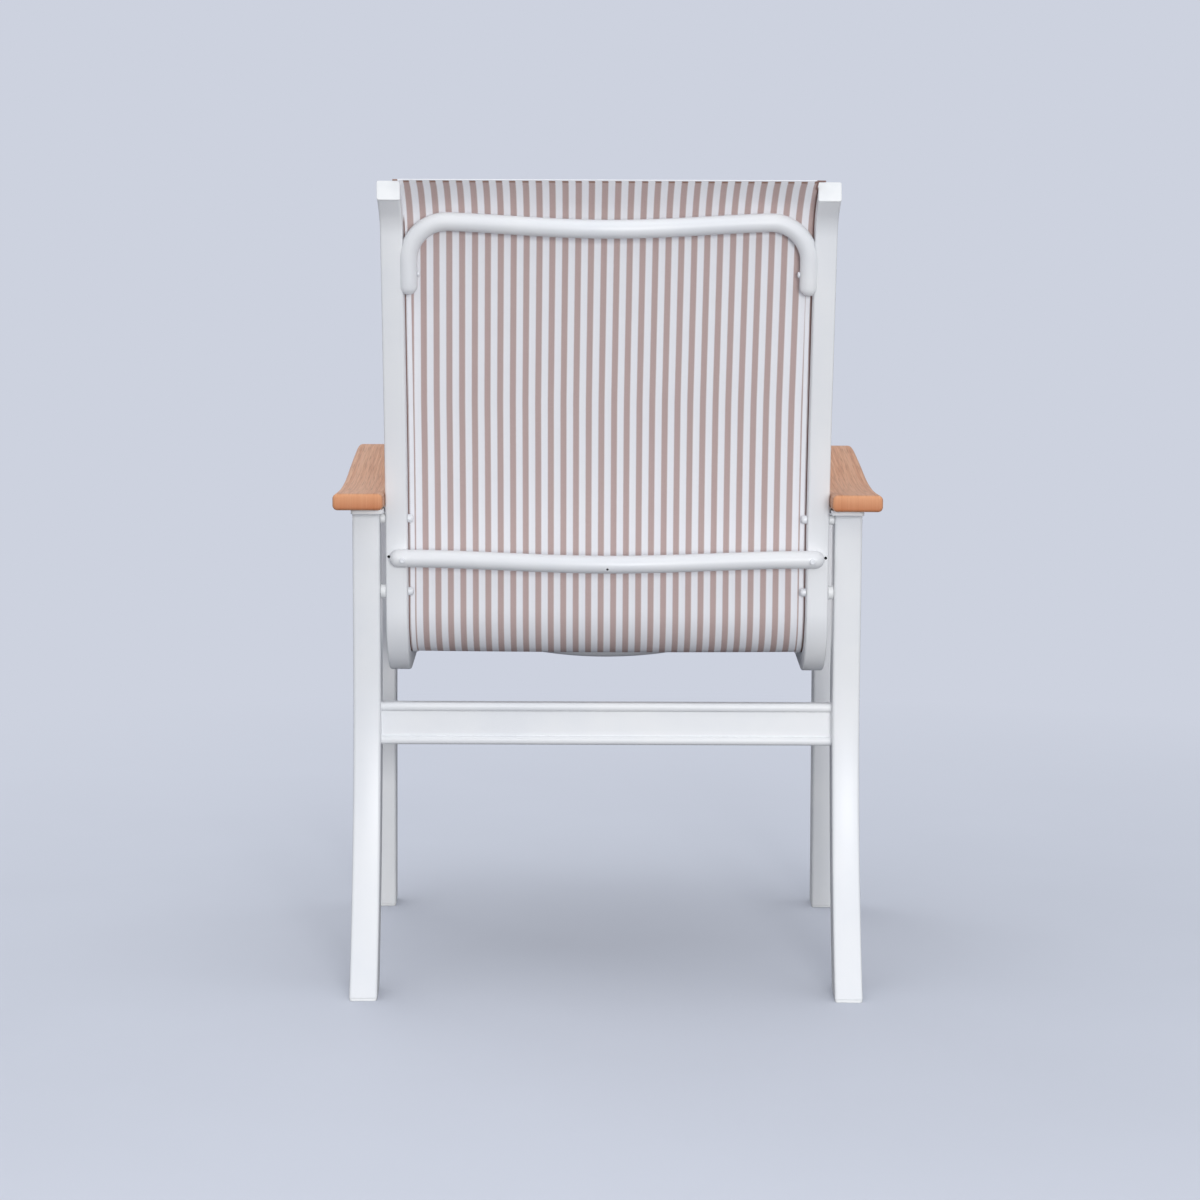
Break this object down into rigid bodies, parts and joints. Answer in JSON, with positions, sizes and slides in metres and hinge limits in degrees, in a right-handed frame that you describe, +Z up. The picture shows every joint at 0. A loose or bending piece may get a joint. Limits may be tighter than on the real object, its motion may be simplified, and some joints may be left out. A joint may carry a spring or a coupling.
{
  "type": "sling patio chair",
  "caption": "Patio armchair: a striped woven sling stretched between L-shaped rails, carried by flat-tube side frames with sabre rear legs, wood-look slat armrests and bowed cross tubes.",
  "frame": {"origin": "on the floor, under the middle of the chair's bounding box", "axes": "+Z up, -Y the way the sitter faces, +X on the sitter's left"},
  "size_m": [0.6582, 0.6416, 0.929],
  "materials": {
    "frame": "white powder coat with a soft sheen over aluminium tube and extrusion",
    "plug": "bright white moulded plastic",
    "hardware": "white painted screws, bolts, spacers and domed cap nuts",
    "arm": "warm tan wood with fine lengthwise grain, satin",
    "sling": "woven mesh with lengthwise stripes in taupe brown and off-white",
    "spline": "plain extruded rod, hidden in the sling's hem"
  },
  "bodies": {
    "root": {"sling_rail_left": "frame", "sling_rail_right": "frame", "rail_plug_top_left": "plug", "rail_plug_top_right": "plug", "rail_plug_front_left": "plug", "rail_plug_front_right": "plug", "sling": "sling", "spline_rod_left": "spline", "spline_rod_right": "spline", "upper_cross_tube": "frame", "lower_cross_tube": "frame", "under_seat_tube": "frame", "rear_stretcher": "frame", "rear_leg_left": "frame", "front_leg_left": "frame", "foot_glide_rear_left": "plug", "foot_glide_front_left": "plug", "armrest_left": "arm", "arm_support_bar_left": "frame", "arm_screw_rear_left": "hardware", "arm_screw_front_left": "hardware", "frame_bolt_upper_left": "hardware", "spacer_upper_left": "hardware", "cap_nut_upper_left": "hardware", "frame_bolt_lower_left": "hardware", "spacer_lower_left": "hardware", "cap_nut_lower_left": "hardware", "frame_bolt_front_left": "hardware", "spacer_front_left": "hardware", "cap_nut_front_left": "hardware", "stretcher_screw_lower_left": "hardware", "stretcher_screw_upper_left": "hardware", "upper_tube_screw_left": "hardware", "lower_tube_screw_left": "hardware", "under_seat_screw_left": "hardware", "rear_leg_right": "frame", "front_leg_right": "frame", "foot_glide_rear_right": "plug", "foot_glide_front_right": "plug", "armrest_right": "arm", "arm_support_bar_right": "frame", "arm_screw_rear_right": "hardware", "arm_screw_front_right": "hardware", "frame_bolt_upper_right": "hardware", "spacer_upper_right": "hardware", "cap_nut_upper_right": "hardware", "frame_bolt_lower_right": "hardware", "spacer_lower_right": "hardware", "cap_nut_lower_right": "hardware", "frame_bolt_front_right": "hardware", "spacer_front_right": "hardware", "cap_nut_front_right": "hardware", "stretcher_screw_lower_right": "hardware", "stretcher_screw_upper_right": "hardware", "upper_tube_screw_right": "hardware", "lower_tube_screw_right": "hardware", "under_seat_screw_right": "hardware"}
  },
  "joints": []
}
